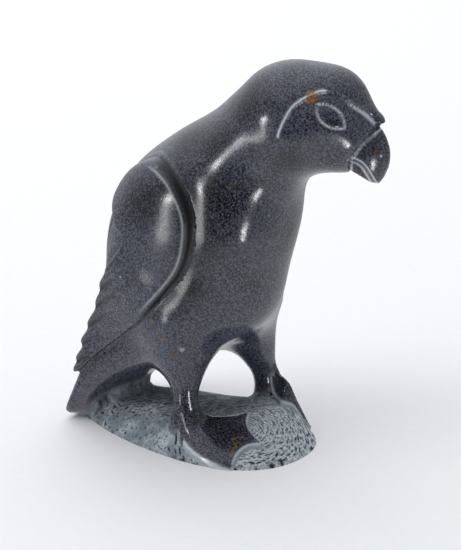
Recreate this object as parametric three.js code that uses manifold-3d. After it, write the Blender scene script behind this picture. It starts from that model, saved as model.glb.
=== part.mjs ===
// A stone bird standing on a low domed ground, carved from a single block.
// Millimetres. +X runs forward to the beak, +Y is the bird's left, +Z is up, and the underside lies on Z = 0.
// The stone is a distance field, negative inside. A closed mesh is then laid on its zero surface.
import * as THREE from 'three';
import Module from 'manifold-3d';

// Body
const TORSO = { at: [1.2, 0, 72], radii: [35.8, 29.5, 48], lean: 9.7 };
const BELLY = { height: 36.5, slope: 0.1, blend: 18 };
const BACK = { at: [-9, 0, 72], radii: [26.4, 26, 38], blend: 8 };
const CHEST = { at: [13, 0, 96], radii: [25.5, 26.5, 27], blend: 12 };
const NECK = { from: [1, 0, 92], to: [39, 3.8, 133], radii: [23, 20.8], blend: 12 };

// Tail: a side outline, cut below by an arch that dips towards the middle
const TAIL = {
  outline: [
    [-18, 75], [-26, 60], [-33, 45], [-39.5, 28], [-46.5, 12],
    [-49.5, 4], [-45.5, 2], [-25, 10], [0, 28], [8, 45],
  ],
  halfWidth: 24,
  sideRound: 6,
  blend: 9,
};
const ARCH = { at: [13.7, -36.3], radius: 72, dip: 6, round: 3, spare: 2.5 };

// Wings: a side outline of the folded wing, raised over the body with a groove around it
const WING = {
  outline: [
    [-6, 115.5], [6, 113], [14.5, 104.5], [17.3, 93.5], [13, 77], [-1, 59], [-14, 46], [-28, 34.5],
    [-41.5, 22.5], [-38, 38], [-29.8, 53.5], [-23.2, 68.5], [-12.5, 84], [-18, 89.5], [-23, 98], [-17, 109],
  ],
  axis: [[-6, 105], [-36, 32]],
  relief: 2.4,
  crown: 3.4,
  crownWidth: 32,
  edgeRound: 3,
  groove: 1.1,
  backGap: 5,
  reach: 14,
  valley: { depth: 1.0, width: 5 },
};
const FLUTES = { along: [0.65, -0.76], pitch: 4.2, depth: 1.1, reach: 10, low: 28, high: 68 };

// Head, turned a little to the bird's left
const HEAD = { at: [51.8, 7.4, 136], turn: 20, blend: 8, reach: 48 };
const CRANIUM = { at: [-6, 0.5], radii: [20, 17.5, 18.2] };
const FOREHEAD = { at: [3.2, 1], radii: [15.9, 15.3, 18.3], blend: 4 };
const BRIDGE = { from: [8, 0, 3], to: [20, 0, -1], radii: [9.5, 2.8], blend: 3 };
const FACE = { at: [8.5, -8.5], radii: [15.5, 12, 12.4], blend: 8 };
const FACE_END = { at: [33.3, -21.2], radius: 21.8, round: 1 };
const BEAK = { at: [10, -14], radii: [16.3, 7, 16.5], rear: 4, groove: 0.7 };
const HOOK = { at: [-9.5, -58.3], radius: 45, round: 1.5 };
const MOUTH = { line: [[11.5, -13.5], [16.3, -15.6], [19.1, -19.4], [22, -27]], depth: 0.8, width: 0.7 };
const BROW = {
  line: [
    [-11.5, -3], [-9.8, 2], [-5.9, 8.7], [1.8, 12.8], [6.8, 13.1],
    [11.3, 11.7], [14.5, 9.2], [19, 5.5], [24.5, -1],
  ],
  step: 1.4,
  edge: [0.8, 2.6],
  fall: 5,
  reach: [4, 11],
};
const EYE = { at: [6.7, 4.2], tilt: -40.8, radius: 8.8, offset: 5.6, depth: 0.9, width: 0.8 };

// Legs and webbed feet: right then left
const LEG = { thigh: 14, ankle: 4, knee: 3, blend: 10, height: 20, foot: 9, flare: 6, top: 80 };
const FOOT = {
  thick: 1.5,
  crest: 0.6,
  edgeRound: 0.8,
  roughRound: 3,
  edgePoints: [5, 7, 6, 7],
  reach: 25,
};
const RIGHT_FOOT = {
  side: -1,
  thigh: [2, -12.5, 50],
  ankle: [7.8, -19.2],
  sole: [7.8, -19.2],
  heel: [3, -21],
  toes: [[24.5, 1.5], [40.5, -12], [35.7, -28]],
  bows: [2.5, 4, 3.2, -5],
  ridge: 9,
  ridgeWidth: 5.5,
  ridgeEdge: 2.5,
  falls: [2, 4, 2.5],
};
const LEFT_FOOT = {
  side: 1,
  thigh: [11, 14, 50],
  ankle: [16.5, 22],
  sole: [18.5, 22.5],
  heel: [5, 22.5],
  toes: [[29.5, 14], [44.2, 18], [38, 28]],
  bows: [2.5, 5, 3.2, -5],
  ridge: 11,
  ridgeWidth: 7,
  ridgeEdge: 4,
  falls: [1.6, 0.5, 0.8],
};
const FEET = [RIGHT_FOOT, LEFT_FOOT];

// Domed ground, egg-shaped in plan and wider in front
const GROUND = { half: [51.3, 27.8], height: 12, shift: [-1.1, -1.6], taper: 0.29, power: 2.2, dome: 0.7 };
const MOUND = { at: [27, 20], width: 16, height: 5, rim: 0.3 };
const GROUND_BLEND = { legs: 4, tail: 9, from: 0, to: -20 };
const BELOW = 5;

// Mesh sizes
const MESH = { cell: 5, finest: 1.8, growth: 0.9, splits: 3, nudge: 0.45, snap: 0.5 };
const STONE = { color: 0x3b3f47, roughness: 0.3, metalness: 0 };

const radians = (degrees) => degrees * Math.PI / 180;
const clamp = (v, low, high) => Math.min(Math.max(v, low), high);

// Eased step from 0 at low to 1 at high.
function ease(low, high, v) {
  const t = clamp((v - low) / (high - low), 0, 1);
  return t * t * (3 - 2 * t);
}

// Union and cut of two fields with a rounded seam of width k.
function join(a, b, k) {
  const h = clamp(0.5 + 0.5 * (b - a) / k, 0, 1);
  return b + (a - b) * h - k * h * (1 - h);
}

function trim(a, b, k) {
  return -join(-a, -b, k);
}

function bell(v, width) {
  return Math.exp(-((v / width) ** 2));
}

function ellipsoid(x, y, z, radii) {
  const [a, b, c] = radii;
  const k0 = Math.hypot(x / a, y / b, z / c);
  const k1 = Math.hypot(x / a ** 2, y / b ** 2, z / c ** 2);
  return k0 * (k0 - 1) / Math.max(k1, 1e-6);
}

// Tapered rod between two points.
function rod(x, y, z, from, to, radii) {
  const d = to.map((v, i) => v - from[i]);
  const p = [x - from[0], y - from[1], z - from[2]];
  const t = clamp((p[0] * d[0] + p[1] * d[1] + p[2] * d[2]) / (d[0] ** 2 + d[1] ** 2 + d[2] ** 2), 0, 1);
  return Math.hypot(p[0] - t * d[0], p[1] - t * d[1], p[2] - t * d[2]) - radii[0] - t * (radii[1] - radii[0]);
}

// Distance from a point to a segment in a plane, and how far along it the nearest point lies.
function segment(u, v, a, b) {
  const du = b[0] - a[0];
  const dv = b[1] - a[1];
  const t = clamp(((u - a[0]) * du + (v - a[1]) * dv) / (du * du + dv * dv), 0, 1);
  return [Math.hypot(u - a[0] - t * du, v - a[1] - t * dv), t];
}

function polyline(u, v, points) {
  let best = Infinity;
  let along = 0;
  for (let i = 0; i + 1 < points.length; i++) {
    const [d, t] = segment(u, v, points[i], points[i + 1]);
    if (d < best) {
      best = d;
      along = (i + t) / (points.length - 1);
    }
  }
  return [best, along];
}

// Signed distance to a closed outline in a plane.
function outline(u, v, points) {
  let best = Infinity;
  let inside = false;
  points.forEach((a, i) => {
    const b = points[(i + 1) % points.length];
    best = Math.min(best, segment(u, v, a, b)[0]);
    if ((a[1] > v) !== (b[1] > v) && u < (b[0] - a[0]) * (v - a[1]) / (b[1] - a[1]) + a[0]) inside = !inside;
  });
  return inside ? -best : best;
}

// Even points on a smooth curve through the given ones.
function smoothLine(points, closed, perSpan) {
  const knots = points.map(([u, v]) => new THREE.Vector3(u, v, 0));
  const curve = new THREE.CatmullRomCurve3(knots, closed, 'catmullrom');
  const count = perSpan * (closed ? points.length : points.length - 1);
  const line = curve.getPoints(count).map((p) => [p.x, p.y]);
  if (closed) line.pop();
  return line;
}

// Points from a towards b on an arc bowed to the left by sag.
function bowed(a, b, sag, count) {
  const points = [];
  for (let i = 0; i < count; i++) {
    const t = i / count;
    const [du, dv] = [b[0] - a[0], b[1] - a[1]];
    const lift = 4 * sag * t * (1 - t) / Math.hypot(du, dv);
    points.push([a[0] + du * t - dv * lift, a[1] + dv * t + du * lift]);
  }
  return points;
}

function footOutline({ side, heel, toes, bows }) {
  const corners = [heel, ...toes, heel];
  return bows.flatMap((bow, i) => bowed(corners[i], corners[i + 1], side * bow, FOOT.edgePoints[i]));
}

const tailLine = smoothLine(TAIL.outline, true, 3);
const wingLine = smoothLine(WING.outline, true, 3);
const wingRear = smoothLine(WING.outline.slice(8, 12), false, 3);
const browLine = smoothLine(BROW.line, false, 4);
const browArea = [...browLine, [26, -20], [-8, -20]];
const mouthLine = smoothLine(MOUTH.line, false, 3);
const mouthArea = [...mouthLine, [4, -30], [4, -12]];
const footLines = FEET.map(footOutline);

function body(x, y, z, spare) {
  const lean = radians(TORSO.lean);
  const [dx, dy, dz] = [x - TORSO.at[0], y - TORSO.at[1], z - TORSO.at[2]];
  const along = dx * Math.cos(lean) - dz * Math.sin(lean);
  const rise = dx * Math.sin(lean) + dz * Math.cos(lean);
  const belly = BELLY.height + BELLY.slope * x - z;
  const back = ellipsoid(x - BACK.at[0], y - BACK.at[1], z - BACK.at[2], BACK.radii);
  const torso = trim(join(ellipsoid(along, dy, rise, TORSO.radii), back, BACK.blend), belly, BELLY.blend);
  const chest = ellipsoid(x - CHEST.at[0], y - CHEST.at[1], z - CHEST.at[2], CHEST.radii);
  const inward = 1 - Math.min(Math.abs(y) / TAIL.halfWidth, 1) ** 2;
  const arch = ARCH.radius - spare - Math.hypot(x - ARCH.at[0], z - ARCH.at[1]) - ARCH.dip * inward;
  const blade = trim(outline(x, z, tailLine), arch, ARCH.round);
  const tail = trim(blade, Math.abs(y) - TAIL.halfWidth, TAIL.sideRound);
  const neck = rod(x, y, z, NECK.from, NECK.to, NECK.radii);
  const trunk = join(join(torso, chest, CHEST.blend), tail, TAIL.blend);
  return join(trunk, neck, NECK.blend);
}

// Position in the head's own frame: forward, sideways, up.
function headFrame(x, y, z) {
  const turn = radians(HEAD.turn);
  const dx = x - HEAD.at[0];
  const dy = y - HEAD.at[1];
  return [
    dx * Math.cos(turn) + dy * Math.sin(turn),
    dy * Math.cos(turn) - dx * Math.sin(turn),
    z - HEAD.at[2],
  ];
}

// Signed distance to the almond outline of the eye, seen from the side of the head.
function eyeLine(f, s, u) {
  const tilt = radians(EYE.tilt);
  const along = (f - EYE.at[0]) * Math.cos(tilt) + (u - EYE.at[1]) * Math.sin(tilt);
  const across = (u - EYE.at[1]) * Math.cos(tilt) - (f - EYE.at[0]) * Math.sin(tilt);
  const lower = Math.hypot(along, across - EYE.offset);
  const upper = Math.hypot(along, across + EYE.offset);
  return Math.max(lower, upper) - EYE.radius;
}

// Signed distances to the lines of the brow and the mouth: positive under the brow, and below the mouth.
function browSide(f, s, u) {
  const distance = polyline(f, u, browLine)[0];
  return outline(f, u, browArea) < 0 ? distance : -distance;
}

function mouthSide(f, s, u) {
  const distance = polyline(f, u, mouthLine)[0];
  return outline(f, u, mouthArea) < 0 ? distance : -distance;
}

// How deep the face is stepped down under the brow, on a slope that widens towards the beak.
function browStep(f, s, u) {
  const along = polyline(f, u, browLine)[1];
  const under = browSide(f, s, u);
  const [narrow, wide] = BROW.edge;
  const edge = narrow + (wide - narrow) * ease(0.4, 0.9, along);
  const fall = Math.exp(-Math.max(under - edge, 0) / BROW.fall) * (1 - ease(...BROW.reach, Math.abs(under)));
  return BROW.step * ease(0, edge, under) * fall * ease(0, 0.2, along);
}

function skullField(f, s, u) {
  const cranium = ellipsoid(f - CRANIUM.at[0], s, u - CRANIUM.at[1], CRANIUM.radii);
  const forehead = ellipsoid(f - FOREHEAD.at[0], s, u - FOREHEAD.at[1], FOREHEAD.radii);
  const bridge = rod(f, s, u, BRIDGE.from, BRIDGE.to, BRIDGE.radii);
  const face = ellipsoid(f - FACE.at[0], s, u - FACE.at[1], FACE.radii);
  const faceEnd = FACE_END.radius - Math.hypot(f - FACE_END.at[0], u - FACE_END.at[1]);
  const skull = join(join(cranium, forehead, FOREHEAD.blend), bridge, BRIDGE.blend);
  return trim(join(skull, face, FACE.blend), faceEnd, FACE_END.round);
}

function beakField(f, s, u) {
  const whole = ellipsoid(f - BEAK.at[0], s, u - BEAK.at[1], BEAK.radii);
  const hooked = trim(whole, HOOK.radius - Math.hypot(f - HOOK.at[0], u - HOOK.at[1]), HOOK.round);
  return trim(hooked, BEAK.rear - f, HOOK.round);
}

// Zero where the beak comes out of the face.
function beakSeam(f, s, u) {
  return skullField(f, s, u) - beakField(f, s, u);
}

function withHead(stone, x, y, z, depth) {
  const [f, s, u] = headFrame(x, y, z);
  if (Math.hypot(f, s, u) > HEAD.reach) return stone;
  let head = join(stone, skullField(f, s, u), HEAD.blend);
  let beak = beakField(f, s, u);
  if (depth === 0) return join(head, beak, BEAK.groove);
  head += browStep(f, s, u) + EYE.depth * bell(eyeLine(f, s, u), EYE.width);
  beak += MOUTH.depth * bell(mouthSide(f, s, u), MOUTH.width);
  return Math.max(Math.min(head, beak), BEAK.groove - Math.hypot(head, beak));
}

// Flutes between the feather tips at the rear edge of the wing.
function fluteSpan(x, z) {
  const distance = polyline(x, z, wingRear)[0];
  const span = ease(FLUTES.low - 4, FLUTES.low, z) * (1 - ease(FLUTES.high, FLUTES.high + 4, z));
  return span * (1 - ease(0, FLUTES.reach, distance));
}

// Signed distance to the nearest crest or bottom line of the flutes.
function fluteSide(x, z) {
  const turn = Math.PI * (x * FLUTES.along[0] + z * FLUTES.along[1]) / FLUTES.pitch;
  return Math.sin(2 * turn) * FLUTES.pitch / (2 * Math.PI);
}

function fluteDepth(x, z) {
  const phase = (x * FLUTES.along[0] + z * FLUTES.along[1]) / FLUTES.pitch;
  return FLUTES.depth * fluteSpan(x, z) * (0.5 + 0.5 * Math.cos(2 * Math.PI * phase));
}

function withWings(stone, trunk, edge, x, y, z, depth) {
  if (edge > WING.reach) return stone;
  const [distance, along] = segment(x, z, ...WING.axis);
  const bulge = (1 - Math.min(distance / WING.crownWidth, 1) ** 2) ** 2;
  const relief = WING.relief + WING.crown * bulge * (1 - 0.8 * along);
  let wing = trim(trunk - relief + depth * fluteDepth(x, z), edge, WING.edgeRound);
  wing = Math.max(wing, WING.backGap - Math.abs(y));
  if (depth === 0) return join(stone, wing, WING.groove);
  return Math.max(Math.min(stone, wing), WING.groove - Math.hypot(stone, wing));
}

function groundHeight(x, y) {
  const [a, b] = GROUND.half;
  const along = (x - GROUND.shift[0]) / a;
  const across = (y - GROUND.shift[1]) / (b * (1 + GROUND.taper * clamp(along, -1, 1)));
  const left = 1 - Math.abs(along) ** GROUND.power - Math.abs(across) ** GROUND.power;
  const swell = MOUND.height * bell(Math.hypot(x - MOUND.at[0], y - MOUND.at[1]), MOUND.width);
  return GROUND.height * Math.sign(left) * Math.abs(left) ** GROUND.dome + swell * ease(0, MOUND.rim, left);
}

// Rise of a foot above the ground: ridges run from the sole out along the toes, with the web between them.
function footRise({ sole, toes, ridge, ridgeWidth, ridgeEdge, falls }, x, y, edge) {
  let total = 0;
  toes.forEach((toe, i) => {
    const [distance, along] = segment(x, y, sole, toe);
    const height = ridge * (1 - along) ** falls[i];
    total += (height * Math.exp(-Math.hypot(distance, FOOT.crest) / ridgeWidth)) ** 3;
  });
  return FOOT.thick + Math.cbrt(total) * ease(0, ridgeEdge, -edge);
}

function ground(x, y, z, depth) {
  const rise = z - groundHeight(x, y);
  const edgeRound = depth === 0 ? FOOT.roughRound : FOOT.edgeRound;
  let stone = rise * 0.7;
  if (rise > FOOT.reach) return stone;
  FEET.forEach((foot, i) => {
    const edge = outline(x, y, footLines[i]);
    const pad = trim((rise - footRise(foot, x, y, edge)) * 0.6, edge, edgeRound);
    stone = Math.min(stone, pad);
  });
  return stone;
}

function legs(x, y, z) {
  const rods = FEET.map(({ thigh, ankle, sole }) => {
    const shin = rod(x, y, z, thigh, [...ankle, LEG.height], [LEG.thigh, LEG.ankle]);
    const post = rod(x, y, z, [...ankle, LEG.height], [...sole, LEG.foot], [LEG.ankle, LEG.flare]);
    return join(shin, post, LEG.knee);
  });
  return Math.min(...rods);
}

// The bird alone. At depth 0 the carved lines are left out. Spare stone can be left under the tail.
function bird(x, y, z, depth, spare) {
  const trunk = body(x, y, z, spare);
  const edge = outline(x, z, wingLine);
  const front = ease(-20, 0, x) * (1 - ease(105, 125, z));
  const valley = WING.valley.depth * bell(edge, WING.valley.width) * front;
  const stone = withWings(withHead(trunk + valley, x, y, z, depth), trunk, edge, x, y, z, depth);
  return z < LEG.top ? join(stone, legs(x, y, z), LEG.blend) : stone;
}

// The whole stone, with the ground under the bird.
function carving(x, y, z, depth, spare) {
  const stone = bird(x, y, z, depth, spare);
  const { legs: atLegs, tail: atTail, from, to } = GROUND_BLEND;
  const blend = atTail + (atLegs - atTail) * ease(to, from, x);
  const whole = z < LEG.top ? join(stone, ground(x, y, z, depth), blend) : stone;
  return Math.max(whole, -BELOW - z);
}

// Zero where the bird meets the ground.
function groundSeam(x, y, z) {
  return bird(x, y, z, 0, 0) - ground(x, y, z, 0);
}

const roughForm = (x, y, z) => carving(x, y, z, 0, ARCH.spare);
const plainForm = (x, y, z) => carving(x, y, z, 0, 0);
const carvedForm = (x, y, z) => carving(x, y, z, 1, 0);

// Signed distance across the line of a toe.
function toeLine(x, y, [ax, ay], [bx, by]) {
  return ((x - ax) * (by - ay) - (y - ay) * (bx - ax)) / Math.hypot(bx - ax, by - ay);
}

// Lines the mesh has to follow. Each has a signed distance across it and the places where it counts.
function carvedLines() {
  const onWing = (x, y) => Math.abs(y) > WING.backGap;
  const inFace = (x, y, z) => {
    const [f, s, u] = headFrame(x, y, z);
    return f > -14 && Math.abs(s) > 1 && u > -10;
  };
  const atBeak = (x, y, z) => headFrame(x, y, z)[0] > 10;
  const onFlutes = (x, y, z) => onWing(x, y) && fluteSpan(x, z) > 0.1;
  const lines = [
    { across: (x, y, z) => outline(x, z, wingLine), counts: onWing },
    { across: (x, y, z) => outline(x, z, wingLine) + WING.edgeRound, counts: onWing },
    { across: (x, y, z) => fluteSide(x, z), counts: onFlutes },
    { across: (x, y, z) => browSide(...headFrame(x, y, z)), counts: inFace },
    { across: (x, y, z) => eyeLine(...headFrame(x, y, z)), counts: inFace },
    { across: (x, y, z) => beakSeam(...headFrame(x, y, z)), counts: atBeak },
    { across: (x, y, z) => mouthSide(...headFrame(x, y, z)), counts: atBeak },
  ];
  FEET.forEach((foot, i) => {
    const onGround = (x, y, z) => z < 16 && z - groundHeight(x, y) > -1;
    lines.push({ across: (x, y) => outline(x, y, footLines[i]), counts: onGround });
    for (const toe of foot.toes) {
      const onToe = (x, y, z) => onGround(x, y, z) && segment(x, y, foot.sole, toe)[0] < 2.5;
      lines.push({ across: (x, y) => toeLine(x, y, foot.sole, toe), counts: onToe });
    }
  });
  return lines;
}

// Distance to the nearest carved line, which says how fine the mesh has to be.
function carvedDistance(x, y, z) {
  const [f, s, u] = headFrame(x, y, z);
  const edge = outline(x, z, wingLine);
  let nearest = Math.abs(y) > WING.backGap ? Math.max(Math.abs(edge + 1.5) - 1.5, 0) + 0.7 : Infinity;
  if (f > -14 && u > -30 && Math.abs(s) > 1) {
    nearest = Math.min(nearest, polyline(f, u, browLine)[0], Math.abs(eyeLine(f, s, u)) - 0.5);
    if (f > 11 && u < 2) nearest = 0.3;
  }
  if (z < 22) {
    FEET.forEach((foot, i) => {
      const toes = foot.toes.map((toe) => segment(x, y, foot.sole, toe)[0] + 0.5);
      nearest = Math.min(nearest, Math.abs(outline(x, y, footLines[i])) + 0.4, ...toes);
    });
  }
  if (x < 0 && z < LEG.height) nearest = Math.min(nearest, Math.abs(groundSeam(x, y, z)) * 0.4);
  const fluted = fluteSpan(x, z) > 0.05 && Math.abs(y) > WING.backGap;
  return fluted ? Math.min(nearest, 0.2) : nearest;
}

// Where the inside and outside corners of a grid square lie crosswise, one outside corner is filled in.
function fillPinches(values, count, step, place) {
  let filled = 0;
  values.forEach((_, n) => {
    const at = place(n);
    for (let axis = 0; axis < 3; axis++) {
      const other = (axis + 1) % 3;
      if (at[axis] + 1 >= count[axis] || at[other] + 1 >= count[other]) continue;
      const square = [n, n + step[axis], n + step[axis] + step[other], n + step[other]];
      const inside = square.map((m) => values[m] < 0);
      if (inside[0] !== inside[2] || inside[1] !== inside[3] || inside[0] === inside[1]) continue;
      const [a, b] = square.filter((_m, i) => !inside[i]);
      values[values[a] < values[b] ? a : b] = -0.1;
      filled += 1;
    }
  });
  if (filled > 0) fillPinches(values, count, step, place);
}

// Closed mesh on the zero surface of a field: one point in every grid cell that the surface passes through.
function surfaceNet(field, low, high, cell) {
  const count = low.map((v, i) => Math.ceil((high[i] - v) / cell) + 1);
  const step = [1, count[0], count[0] * count[1]];
  const values = new Float64Array(count[0] * count[1] * count[2]);
  const place = (n) => [n % count[0], Math.floor(n / step[1]) % count[1], Math.floor(n / step[2])];
  values.forEach((_, n) => {
    values[n] = field(...place(n).map((g, i) => low[i] + g * cell));
  });
  fillPinches(values, count, step, place);
  const corners = [0, 1, 2, 3, 4, 5, 6, 7].map((c) => [c & 1, (c >> 1) & 1, c >> 2]);
  const points = [];
  const pointOf = new Map();
  values.forEach((_, n) => {
    const at = place(n);
    if (at.some((g, i) => g + 1 >= count[i])) return;
    const sum = [0, 0, 0];
    let crossings = 0;
    corners.forEach((corner, c) => {
      const a = values[n + corner[0] + corner[1] * step[1] + corner[2] * step[2]];
      for (let axis = 0; axis < 3; axis++) {
        if (corner[axis] === 1) continue;
        const end = corners[c | (1 << axis)];
        const b = values[n + end[0] + end[1] * step[1] + end[2] * step[2]];
        if ((a < 0) === (b < 0)) continue;
        corner.forEach((v, i) => {
          sum[i] += v + (i === axis ? a / (a - b) : 0);
        });
        crossings += 1;
      }
    });
    if (crossings === 0) return;
    pointOf.set(n, points.length);
    points.push(sum.map((v, i) => low[i] + (at[i] + v / crossings) * cell));
  });
  const triangles = [];
  values.forEach((a, n) => {
    const at = place(n);
    for (let axis = 0; axis < 3; axis++) {
      const b = (axis + 1) % 3;
      const c = (axis + 2) % 3;
      if (at[axis] + 1 >= count[axis] || at[b] === 0 || at[c] === 0) continue;
      if ((a < 0) === (values[n + step[axis]] < 0)) continue;
      const ring = [n - step[b] - step[c], n - step[c], n, n - step[b]].map((m) => pointOf.get(m));
      if (a >= 0) ring.reverse();
      triangles.push([ring[0], ring[1], ring[2]], [ring[0], ring[2], ring[3]]);
    }
  });
  return { points, triangles };
}

const between = (p, q, t) => p.map((v, i) => v + (q[i] - v) * t);
const apart = (p, q) => Math.hypot(p[0] - q[0], p[1] - q[1], p[2] - q[2]);

// Splits the edges for which cutAt gives a point, and divides the triangles to match.
function splitEdges({ points, triangles }, cutAt) {
  const cuts = new Map();
  const total = points.length;
  const cut = (a, b) => {
    const key = Math.min(a, b) * total + Math.max(a, b);
    if (!cuts.has(key)) {
      const p = cutAt(Math.min(a, b), Math.max(a, b));
      cuts.set(key, p ? points.push(p) - 1 : -1);
    }
    return cuts.get(key);
  };
  const finer = [];
  for (const [a, b, c] of triangles) {
    const loop = [a, cut(a, b), b, cut(b, c), c, cut(c, a)];
    const split = [1, 3, 5].filter((i) => loop[i] >= 0);
    const turn = split.length === 2 ? [1, 3, 5].find((i) => loop[i] < 0) + 1 : (split[0] ?? 1) - 1;
    const [p, pq, q, qr, r, rp] = loop.map((_, i) => loop[(i + turn) % 6]);
    if (split.length === 0) finer.push([p, q, r]);
    if (split.length === 1) finer.push([p, pq, r], [pq, q, r]);
    if (split.length === 2) finer.push([pq, q, qr], [p, pq, qr], [p, qr, r]);
    if (split.length === 3) finer.push([p, pq, rp], [pq, q, qr], [rp, qr, r], [pq, qr, rp]);
  }
  return { points, triangles: finer };
}

// Halves the edges that are longer than the size wanted there.
function splitLong(mesh, sizeAt) {
  const { points } = mesh;
  return splitEdges(mesh, (a, b) => {
    const middle = between(points[a], points[b], 0.5);
    return apart(points[a], points[b]) > 1.5 * sizeAt(...middle) ? middle : null;
  });
}

// Makes edges follow a line: points close to it are moved on to it, and edges that cross it are split on it.
function imprint(mesh, { across, counts }) {
  const { points } = mesh;
  const offsets = points.map((p, n) => {
    if (!counts(...p)) return NaN;
    const offset = across(...p);
    if (Math.abs(offset) > MESH.nudge) return offset;
    const normal = slope(across, p);
    const steep = Math.max(Math.hypot(...normal), 0.5);
    points[n] = p.map((v, i) => v - offset * normal[i] / steep ** 2);
    return 0;
  });
  return splitEdges(mesh, (a, b) => {
    if (!(offsets[a] * offsets[b] < 0)) return null;
    return between(points[a], points[b], offsets[a] / (offsets[a] - offsets[b]));
  });
}

// Slope of the field at a point.
function slope(field, [x, y, z]) {
  const h = 0.05;
  return [
    (field(x + h, y, z) - field(x - h, y, z)) / (2 * h),
    (field(x, y + h, z) - field(x, y - h, z)) / (2 * h),
    (field(x, y, z + h) - field(x, y, z - h)) / (2 * h),
  ];
}

// Drops a point on to the surface.
function drop(field, point) {
  let p = point;
  for (let round = 0; round < 4; round++) {
    const normal = slope(field, p);
    const steep = Math.max(Math.hypot(...normal), 0.4);
    const fall = clamp(field(...p) / steep, -1.5, 1.5);
    p = p.map((v, i) => v - fall * normal[i] / steep);
  }
  return p;
}

// Evens the points out along the surface, then drops each one back on to it.
function settle({ points, triangles }, field) {
  const sums = points.map(() => [0, 0, 0, 0]);
  for (const triangle of triangles) {
    triangle.forEach((a, i) => {
      const [x, y, z] = points[triangle[(i + 1) % 3]];
      sums[a] = [sums[a][0] + x, sums[a][1] + y, sums[a][2] + z, sums[a][3] + 1];
    });
  }
  const moved = points.map((p, n) => {
    const normal = slope(field, p);
    const steep = Math.max(Math.hypot(...normal), 0.4);
    const pull = p.map((v, i) => 0.5 * (sums[n][i] / sums[n][3] - v));
    const rise = (pull[0] * normal[0] + pull[1] * normal[1] + pull[2] * normal[2]) / steep ** 2;
    return drop(field, p.map((v, i) => v + pull[i] - rise * normal[i]));
  });
  return { points: moved, triangles };
}

// Points that lie almost on the ground plane are put exactly on it.
function level({ points, triangles }) {
  const snapped = points.map(([x, y, z]) => [x, y, Math.abs(z) < MESH.snap ? 0 : z]);
  return { points: snapped, triangles };
}

// Rough out on a coarse grid, refine near the carved lines, follow the lines, then carve.
function stoneMesh() {
  const sizeAt = (x, y, z) => Math.min(MESH.finest + MESH.growth * carvedDistance(x, y, z), MESH.cell);
  let mesh = surfaceNet(roughForm, [-59, -43, -BELOW - 3], [86, 42, 164], MESH.cell);
  for (let i = 0; i < MESH.splits; i++) {
    mesh = settle(settle(mesh, plainForm), plainForm);
    mesh = splitLong(mesh, sizeAt);
  }
  mesh = settle(settle(mesh, plainForm), plainForm);
  for (const line of carvedLines()) {
    mesh = imprint(mesh, line);
  }
  const points = mesh.points.map((p) => drop(carvedForm, p));
  return level({ points, triangles: mesh.triangles });
}

const wasm = await Module();
wasm.setup();

function solidOf(positions, triangles) {
  const vertProperties = new Float32Array(positions);
  const triVerts = new Uint32Array(triangles);
  return new wasm.Manifold(new wasm.Mesh({ numProp: 3, vertProperties, triVerts }));
}

// A block below the ground plane, used to cut the flat underside.
function blockBelow() {
  const box = new THREE.BoxGeometry(300, 300, 60);
  box.translate(0, 0, -30);
  const place = box.getAttribute('position');
  const points = [];
  const seen = new Map();
  const triangles = Array.from(box.index.array, (n) => {
    const p = [place.getX(n), place.getY(n), place.getZ(n)];
    const key = p.join();
    if (!seen.has(key)) seen.set(key, points.push(p) - 1);
    return seen.get(key);
  });
  return solidOf(points.flat(), triangles);
}

function carvingMesh() {
  const stone = stoneMesh();
  const cut = solidOf(stone.points.flat(), stone.triangles.flat()).subtract(blockBelow()).getMesh();
  const geometry = new THREE.BufferGeometry();
  geometry.setAttribute('position', new THREE.BufferAttribute(cut.vertProperties, 3));
  geometry.setIndex(new THREE.BufferAttribute(cut.triVerts, 1));
  geometry.computeVertexNormals();
  const mesh = new THREE.Mesh(geometry, new THREE.MeshStandardMaterial(STONE));
  mesh.name = 'bird_carving';
  return mesh;
}

const carvedBird = new THREE.Group();
carvedBird.name = 'stone_bird';
carvedBird.add(carvingMesh());

export default carvedBird;
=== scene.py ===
import math

import bmesh
import bpy
import numpy as np
from mathutils import Matrix, Vector


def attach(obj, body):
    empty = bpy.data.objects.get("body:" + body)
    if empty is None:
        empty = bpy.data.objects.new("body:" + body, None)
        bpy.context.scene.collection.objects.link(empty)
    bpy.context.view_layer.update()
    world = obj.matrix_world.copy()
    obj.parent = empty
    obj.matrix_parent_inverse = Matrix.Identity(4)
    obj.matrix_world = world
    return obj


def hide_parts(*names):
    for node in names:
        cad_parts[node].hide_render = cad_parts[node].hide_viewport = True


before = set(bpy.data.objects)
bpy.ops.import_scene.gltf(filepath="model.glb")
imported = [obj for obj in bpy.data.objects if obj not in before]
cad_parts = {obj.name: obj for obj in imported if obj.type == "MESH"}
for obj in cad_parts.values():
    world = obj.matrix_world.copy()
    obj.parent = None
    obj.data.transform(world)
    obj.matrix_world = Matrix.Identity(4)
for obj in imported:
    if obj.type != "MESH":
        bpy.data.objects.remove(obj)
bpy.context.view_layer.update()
MM = 0.001

# Body
TORSO = {"at": (1.2, 0, 72), "radii": (35.8, 29.5, 48), "lean": 9.7}
BELLY = {"height": 36.5, "slope": 0.1, "blend": 18}
BACK = {"at": (-9, 0, 72), "radii": (26.4, 26, 38), "blend": 8}
CHEST = {"at": (13, 0, 96), "radii": (25.5, 26.5, 27), "blend": 12}
SWELLS = [
    {"at": (34, 17, 92), "width": 14, "height": 1.6},
    {"at": (26, 18.5, 126), "width": 9, "height": 1},
]
NECK = {"from": (1, 0, 92), "to": (39, 3.8, 133), "radii": (23, 20.8), "blend": 12}

# Tail: a side outline, cut below by an arch that dips towards the middle
TAIL = {
    "outline": [
        (-18, 75), (-26, 60), (-33, 45), (-39.5, 28), (-46.5, 12),
        (-49.5, 4), (-45.5, 2), (-25, 10), (0, 28), (8, 45),
    ],
    "half_width": 24,
    "side_round": 6,
    "blend": 9,
}
ARCH = {"at": (13.7, -36.3), "radius": 72, "dip": 6, "round": 3, "spare": 1.5}

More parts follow.
